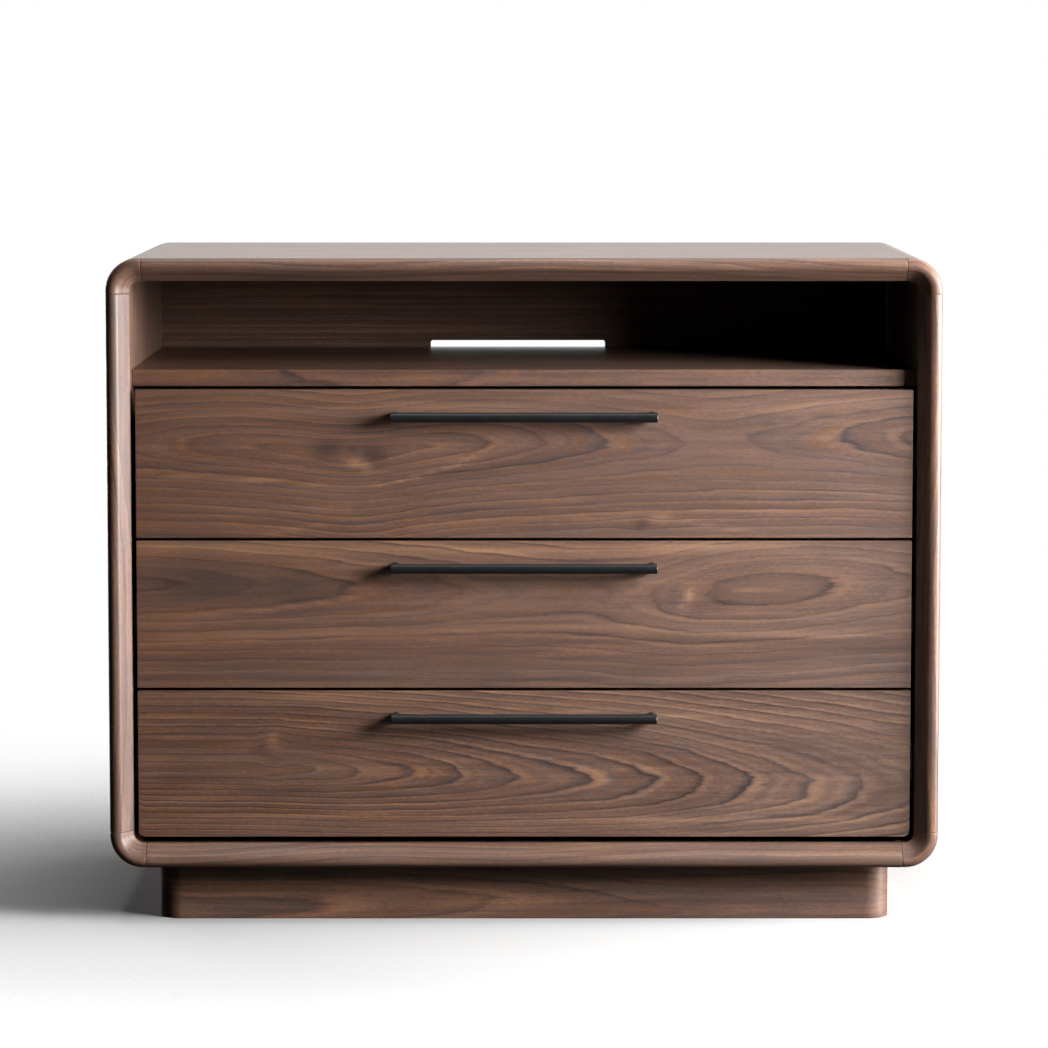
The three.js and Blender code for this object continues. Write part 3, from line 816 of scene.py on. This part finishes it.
def make_front(node, figure, material, corner):
    """A drawer front with eased edges, and rounded lower corners where a corner radius is given."""
    low, high = box_of(node)
    size = (high - low)[[1, 2]]
    piece = straight_board(
        f"{node}_veneered", low, X_AXIS, high[0] - low[0], Y_AXIS, Z_AXIS, size, ARRIS, figure, corner
    )
    finish_piece(piece, material, node)


def circle(radius, sides):
    """A circle's points, and their outward normals."""
    angles = np.arange(sides) * 2 * math.pi / sides
    normals = np.stack([np.cos(angles), np.sin(angles)], -1)
    return normals * radius, normals


def make_handle(drawer):
    """A round bar with chamfered ends on two round posts, each post hollowed to meet the bar's skin."""
    node = f"{drawer}_handle_bar"
    low, high = box_of(node)
    radius = (high[2] - low[2]) / 2
    axis = (low + high) / 2
    points, normals = circle(radius, BAR_SIDES)
    length = high[0] - low[0]
    along = stations(length, length / 4, np.array([0.0, 0.5, 1.0]) * CHAMFER)
    near = np.minimum(along, length - along)
    places = np.array([low[0], axis[1], axis[2]]) + along[:, None] * X_AXIS
    inwards = np.repeat(Y_AXIS[None], len(along), axis=0)
    pull = np.clip(CHAMFER - near, 0, None)
    bar = swept_mesh(f"{node}_coated", carried(points, normals, places, inwards, Z_AXIS, pull))
    finish_piece(bar, BLACK, node)
    for side in ("left", "right"):
        node = f"{drawer}_handle_post_{side}"
        post_low, post_high = box_of(node)
        post_radius = (post_high[2] - post_low[2]) / 2
        middle = (post_low + post_high) / 2
        points, _ = circle(post_radius, BAR_SIDES)
        foot = post_high[1]
        skin = axis[1] + np.sqrt(np.maximum(radius ** 2 - points[:, 1] ** 2, 0)) - BAR_SINK
        share = np.linspace(0, 1, POST_RINGS)[:, None]
        rings = np.zeros((POST_RINGS, BAR_SIDES, 3))
        rings[..., 0] = middle[0] + points[:, 0]
        rings[..., 1] = foot + (skin - foot) * share
        rings[..., 2] = middle[2] + points[:, 1]
        finish_piece(swept_mesh(f"{node}_coated", rings), BLACK, node)


def eased_copy(node, width, material, ending):
    """A copy of a CAD node with its loose triangles merged, its flat faces joined and its edges eased."""
    mesh = frame["nodes"][node].data.copy()
    mesh.materials.clear()
    work = bmesh.new()
    work.from_mesh(mesh)
    bmesh.ops.remove_doubles(work, verts=work.verts, dist=MERGE_DISTANCE)
    bmesh.ops.dissolve_limit(work, angle_limit=FLAT_ANGLE, verts=work.verts, edges=work.edges)
    work.to_mesh(mesh)
    work.free()
    piece = bpy.data.objects.new(f"{node}_{ending}", mesh)
    bpy.context.scene.collection.objects.link(piece)
    mesh.polygons.foreach_set("use_smooth", np.ones(len(mesh.polygons), bool))
    bevel = piece.modifiers.new("eased edges", "BEVEL")
    bevel.width = width
    bevel.segments = 2
    bevel.limit_method = "ANGLE"
    bevel.angle_limit = EASED_ANGLE
    weigh = piece.modifiers.new("flat faces shade flat", "WEIGHTED_NORMAL")
    weigh.keep_sharp = True
    finish_piece(piece, material, node)


make_frame(walnut("walnut_veneer_frame", 3))
make_shelf(walnut("walnut_veneer_shelf", 5, saturation_and_painted_sheen=FRONT_SATURATION_AND_PAINTED_SHEEN))
make_plinth(walnut("walnut_veneer_plinth", 6, saturation_and_painted_sheen=PLINTH_FADING))
back_panel = frame["nodes"]["back_panel"]
back_panel.data.materials.clear()
back_panel.data.materials.append(walnut("walnut_veneer_back", 7, flat=True))

# Each front's figure, contrast and strength of growth lines
fronts = ((TOP_FRONT, 0.74, 0.8), (MIDDLE_FRONT, 0.8, 0.8), (BOTTOM_FRONT, 1.05, 1.15))
for number, (figure, contrast, edges) in enumerate(fronts, start=1):
    drawer = f"drawer_{number}"
    corner = LOWEST_CORNER if number == len(fronts) else 0.0
    # Each front's veneer is drawn greyer towards the right, a painted sheen
    material = walnut(f"walnut_veneer_{drawer}", FRONT_SEED + number, contrast, edges, FRONT_SATURATION_AND_PAINTED_SHEEN)
    make_front(f"{drawer}_front", figure, material, corner)
    make_handle(drawer)
    for part in ("left", "right", "front", "back", "bottom"):
        eased_copy(f"{drawer}_box_{part}", BOX_ARRIS, BEECH, "planed")
    for side in ("left", "right"):
        for member in ("cabinet", "middle", "drawer"):
            eased_copy(f"slide_{number}_{side}_{member}_member", STEEL_ARRIS, ZINC, "rolled")


# Stage, light and camera


def make_floor():
    """A matt floor. The camera sees white paper that keeps the object's shadow and fades into white, with a
    painted glow on it that ambient occlusion dims into a painted contact shadow near the object.

    All other rays meet a dark floor, so that little light comes back up from it to the undersides.
    """
    reach = FLOOR_REACH
    mesh = bpy.data.meshes.new("floor")
    corners = [(-reach, -reach, 0), (reach, -reach, 0), (reach, reach, 0), (-reach, reach, 0)]
    mesh.from_pydata(corners, [], [(0, 1, 2, 3)])
    floor = bpy.data.objects.new("floor", mesh)
    bpy.context.scene.collection.objects.link(floor)
    material = bpy.data.materials.new("matt_white_studio_floor")
    material.use_nodes = True
    tree = material.node_tree
    tree.nodes.clear()
    plain = add(tree, "ShaderNodeBsdfDiffuse", {"Color": linear("#2c2c2c")})
    seen = add(tree, "ShaderNodeBsdfDiffuse", {"Color": (FLOOR_MATT, FLOOR_MATT, FLOOR_MATT, 1)})
    # Painted light: the floor glows for the camera, and ambient occlusion dims the glow into a painted
    # contact shadow near the object
    contact = add(tree, "ShaderNodeAmbientOcclusion", {"Distance": CONTACT_REACH}, samples=8)
    open_air = add(
        tree, "ShaderNodeMath", {1: CONTACT_POWER}, {0: contact.outputs["AO"]}, operation="POWER"
    )
    painted_glow_strength = add(tree, "ShaderNodeMath", {1: FLOOR_GLOW}, {0: open_air.outputs[0]}, operation="MULTIPLY")
    glow = add(tree, "ShaderNodeEmission", links={"Strength": painted_glow_strength.outputs[0]})
    paper = add(tree, "ShaderNodeAddShader", links={0: seen.outputs[0], 1: glow.outputs[0]})
    white = add(tree, "ShaderNodeEmission", {"Strength": 1.0})
    place = add(tree, "ShaderNodeTexCoord").outputs["Object"]
    distance = add(tree, "ShaderNodeVectorMath", links={0: place}, operation="LENGTH").outputs["Value"]
    fade_range = {"From Min": FLOOR_FADE_START, "From Max": FLOOR_FADE_END}
    far = add(tree, "ShaderNodeMapRange", fade_range, {"Value": distance})
    saturation_inputs = add(
        tree, "ShaderNodeMixShader",
        links={0: far.outputs[0], 1: paper.outputs[0], 2: white.outputs[0]},
    )
    rays = add(tree, "ShaderNodeLightPath")
    mixed = add(
        tree, "ShaderNodeMixShader",
        links={0: rays.outputs["Is Camera Ray"], 1: plain.outputs[0], 2: saturation_inputs.outputs[0]},
    )
    add(tree, "ShaderNodeOutputMaterial", links={"Surface": mixed.outputs[0]})
    mesh.materials.append(material)


def make_world():
    """A dim studio with a white wall behind the object, which the camera and gloss see."""
    world = bpy.data.worlds.new("studio")
    bpy.context.scene.world = world
    world.use_nodes = True
    tree = world.node_tree
    tree.nodes.clear()
    rays = add(tree, "ShaderNodeLightPath")
    direction = add(tree, "ShaderNodeTexCoord").outputs["Generated"]
    toward = add(tree, "ShaderNodeSeparateXYZ", links={0: direction}).outputs["Y"]
    wall_range = {"From Min": WALL_START, "From Max": WALL_END, "To Max": WALL_STRENGTH}
    wall = add(
        tree, "ShaderNodeMapRange", wall_range, {"Value": toward}, interpolation_type="SMOOTHSTEP"
    )
    gloss = add(
        tree, "ShaderNodeMath", links={0: rays.outputs["Is Glossy Ray"], 1: wall.outputs[0]},
        operation="MULTIPLY",
    )
    seen = add(
        tree, "ShaderNodeMath", links={0: rays.outputs["Is Camera Ray"], 1: gloss.outputs[0]},
        operation="MAXIMUM",
    )
    clear = add(
        tree, "ShaderNodeMath", links={0: rays.outputs["Is Transmission Ray"], 1: seen.outputs[0]},
        operation="MAXIMUM",
    )
    strength = add(
        tree, "ShaderNodeMath", {1: AMBIENT}, {0: clear.outputs[0]}, operation="MAXIMUM"
    )
    background = add(tree, "ShaderNodeBackground", {"Color": (1, 1, 1, 1)}, {"Strength": strength.outputs[0]})
    add(tree, "ShaderNodeOutputWorld", links={"Surface": background.outputs[0]})


def soft_light(name, place, target, size, power):
    """A rectangular area lamp at a place, turned to a target, with a power in watts."""
    lamp = bpy.data.lights.new(name, "AREA")
    lamp.shape = "RECTANGLE"
    lamp.size, lamp.size_y = size
    lamp.energy = power
    light = bpy.data.objects.new(name, lamp)
    bpy.context.scene.collection.objects.link(light)
    light.location = place
    light.rotation_euler = (Vector(target) - Vector(place)).to_track_quat("-Z", "Y").to_euler()
    return light


make_floor()
make_world()
# The key lights matt surfaces in full, and its mirror image is dimmed so that the top doesn't glare when
# it is seen from behind
KEY = (1.75, -1.25, 1.15), (0, -0.15, 0.75), (1.0, 0.75)
soft_light("key_softbox", *KEY, 97).visible_glossy = False
soft_light("key_softbox_glint", *KEY, 72).visible_diffuse = False
soft_light("side_softbox", (3.95, -0.6, 0.85), (0, -0.15, 0.6), (1.4, 1.8), 410)
soft_light("top_softbox", (0, -0.3, 2.6), (0, -0.15, 0.42), (1.6, 1.0), 24)
soft_light("back_softbox", (-1.6, 2.6, 0.5), (0, 0.2, 0.42), (1.6, 0.8), 42)

camera = bpy.data.objects.new("camera", bpy.data.cameras.new("camera"))
bpy.context.scene.collection.objects.link(camera)
camera.location = CAMERA_PLACE
camera.rotation_euler = (math.pi / 2 - CAMERA_PITCH, 0, 0)
camera.data.lens = CAMERA_LENS
camera.data.sensor_width = SENSOR_WIDTH
bpy.context.scene.camera = camera
bpy.context.scene.view_settings.view_transform = "Standard"
